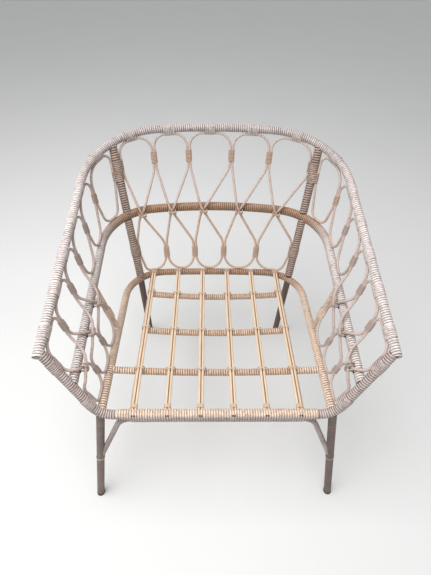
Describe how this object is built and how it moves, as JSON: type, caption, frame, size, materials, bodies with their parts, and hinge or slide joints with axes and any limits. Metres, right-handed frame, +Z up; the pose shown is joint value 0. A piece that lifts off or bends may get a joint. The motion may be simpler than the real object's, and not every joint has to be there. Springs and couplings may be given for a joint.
{
  "type": "tub armchair frame",
  "caption": "Low tub armchair frame of strand-wrapped steel tube, its back and arms filled with bent cane loops, its open seat made of paired canes on crossbars.",
  "frame": {"origin": "On the ground under the middle of the chair's box.", "axes": "+Z is up, the chair faces -Y and its back is towards +Y, +X is to the right as seen from the front."},
  "size_m": [0.7638, 0.736, 0.7616],
  "materials": {
    "steel_tube": "dark powder coat on steel tube",
    "pale_wrap": "flat resin strand, bleached pinkish grey",
    "gold_wrap": "flat resin strand, golden tan",
    "brown_wrap": "coarse resin strand, brown with dark gaps",
    "leg_wrap": "flat resin strand, mauve brown",
    "loop_cane": "solid extruded cane, pinkish tan, matt",
    "slat_cane": "solid extruded cane, cream, matt",
    "tie_strand": "round strand, tan, matt",
    "nail_steel": "dark nail heads",
    "black_plastic": "black glides and plugs"
  },
  "bodies": {
    "root": {"arm_plugs": "black_plastic", "back_leg_left_wrap": "leg_wrap", "back_leg_right_wrap": "leg_wrap", "back_loop_1": "loop_cane", "back_loop_2": "loop_cane", "back_loop_3": "loop_cane", "back_loop_4": "loop_cane", "back_loop_5": "loop_cane", "back_post_left_wrap": "brown_wrap", "back_post_right_wrap": "brown_wrap", "back_post_tubes": "steel_tube", "back_ties": "tie_strand", "bow_rod": "steel_tube", "bow_wrap": "pale_wrap", "crossbar_back_wrap": "gold_wrap", "crossbar_front_wrap": "gold_wrap", "crossbar_middle_wrap": "gold_wrap", "crossbar_tubes": "steel_tube", "crossing_ties": "tie_strand", "foot_glides": "black_plastic", "front_frame_tube": "steel_tube", "front_frame_wrap": "pale_wrap", "front_lashing": "pale_wrap", "front_leg_left_wrap": "leg_wrap", "front_leg_right_wrap": "leg_wrap", "left_loop_a": "loop_cane", "left_loop_b": "loop_cane", "left_loop_c": "loop_cane", "left_loop_d": "loop_cane", "left_loop_e": "loop_cane", "left_loop_f": "loop_cane", "leg_tubes": "steel_tube", "mid_rail_tube": "steel_tube", "mid_rail_wrap": "gold_wrap", "nails": "nail_steel", "rail_bindings": "tie_strand", "right_loop_a": "loop_cane", "right_loop_b": "loop_cane", "right_loop_c": "loop_cane", "right_loop_d": "loop_cane", "right_loop_e": "loop_cane", "right_loop_f": "loop_cane", "seat_ring_tube": "steel_tube", "seat_ring_wrap": "gold_wrap", "seat_slat_1": "slat_cane", "seat_slat_2": "slat_cane", "seat_slat_3": "slat_cane", "seat_slat_4": "slat_cane", "seat_slat_5": "slat_cane", "seat_slat_6": "slat_cane", "side_strut_left_wrap": "gold_wrap", "side_strut_right_wrap": "gold_wrap", "side_strut_rods": "steel_tube", "side_ties": "tie_strand", "slat_ties": "tie_strand", "stringer_left_wrap": "gold_wrap", "stringer_right_wrap": "gold_wrap", "stringer_rods": "steel_tube", "top_rail_tube": "steel_tube", "top_rail_wrap": "pale_wrap"}
  },
  "joints": []
}
